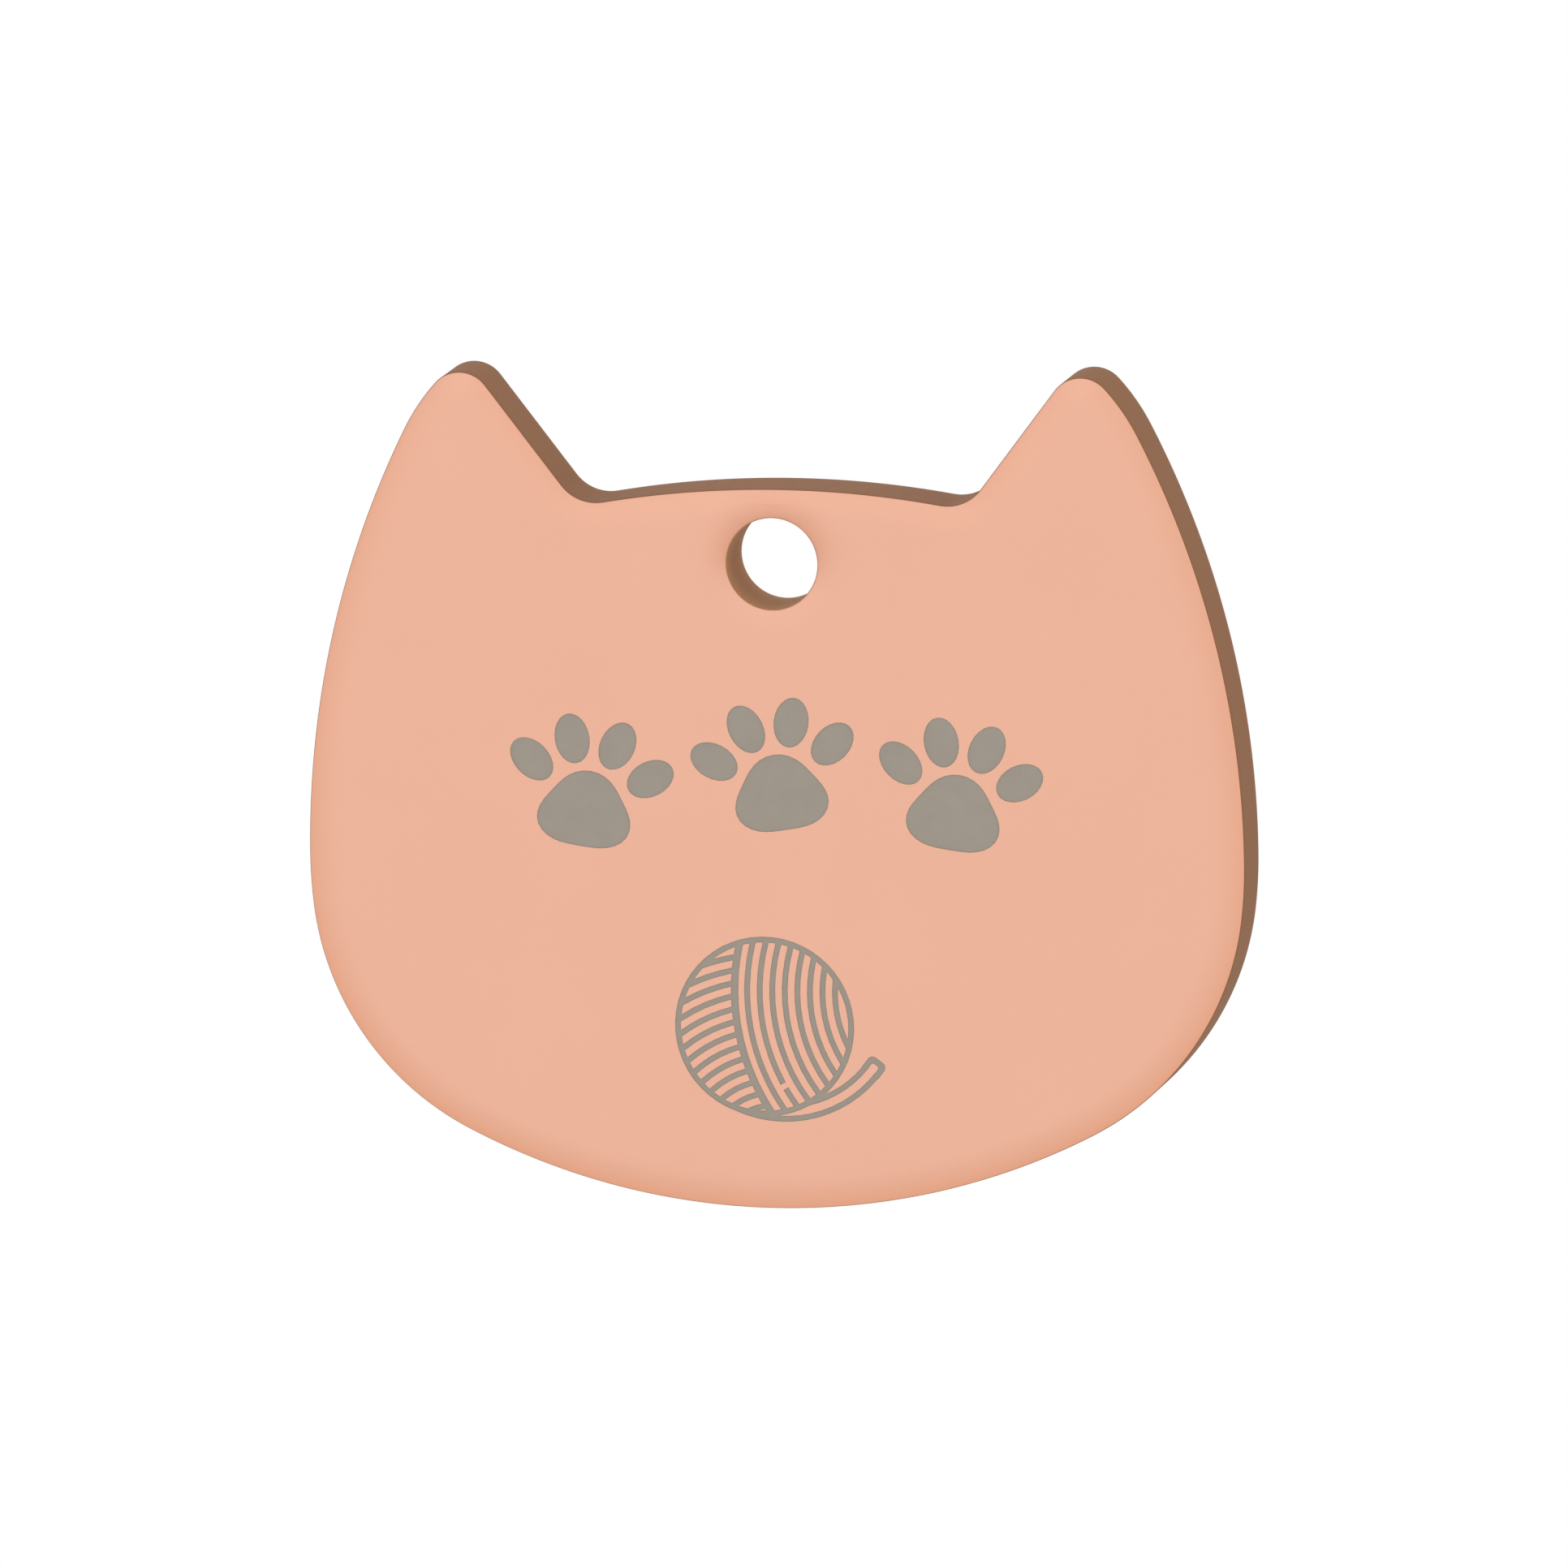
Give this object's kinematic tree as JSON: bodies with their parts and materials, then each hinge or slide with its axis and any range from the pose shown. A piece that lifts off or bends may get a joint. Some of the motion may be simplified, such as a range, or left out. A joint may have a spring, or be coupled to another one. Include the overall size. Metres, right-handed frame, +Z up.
{
  "type": "pet id tag",
  "caption": "Flat anodised metal pet tag in a cat-head outline, with a hanging hole between the ears and grey colour-filled engraving on its front",
  "frame": {"origin": "the centre of the hanging hole, halfway through the plate's thickness", "axes": "+Z up towards the ears as the tag hangs, -Y out of the engraved front face along the hanging hole, +X to the right of someone facing the front"},
  "size_m": [0.0308, 0.003, 0.0274],
  "materials": {
    "plate": "rose gold satin anodising on the faces, with brown side walls",
    "fill": "matte warm grey enamel that fills the engraving"
  },
  "bodies": {
    "root": {"tag_plate": "plate", "paw_fill_1": "fill", "paw_fill_2": "fill", "paw_fill_3": "fill", "yarn_ball_fill": "fill"}
  },
  "joints": []
}
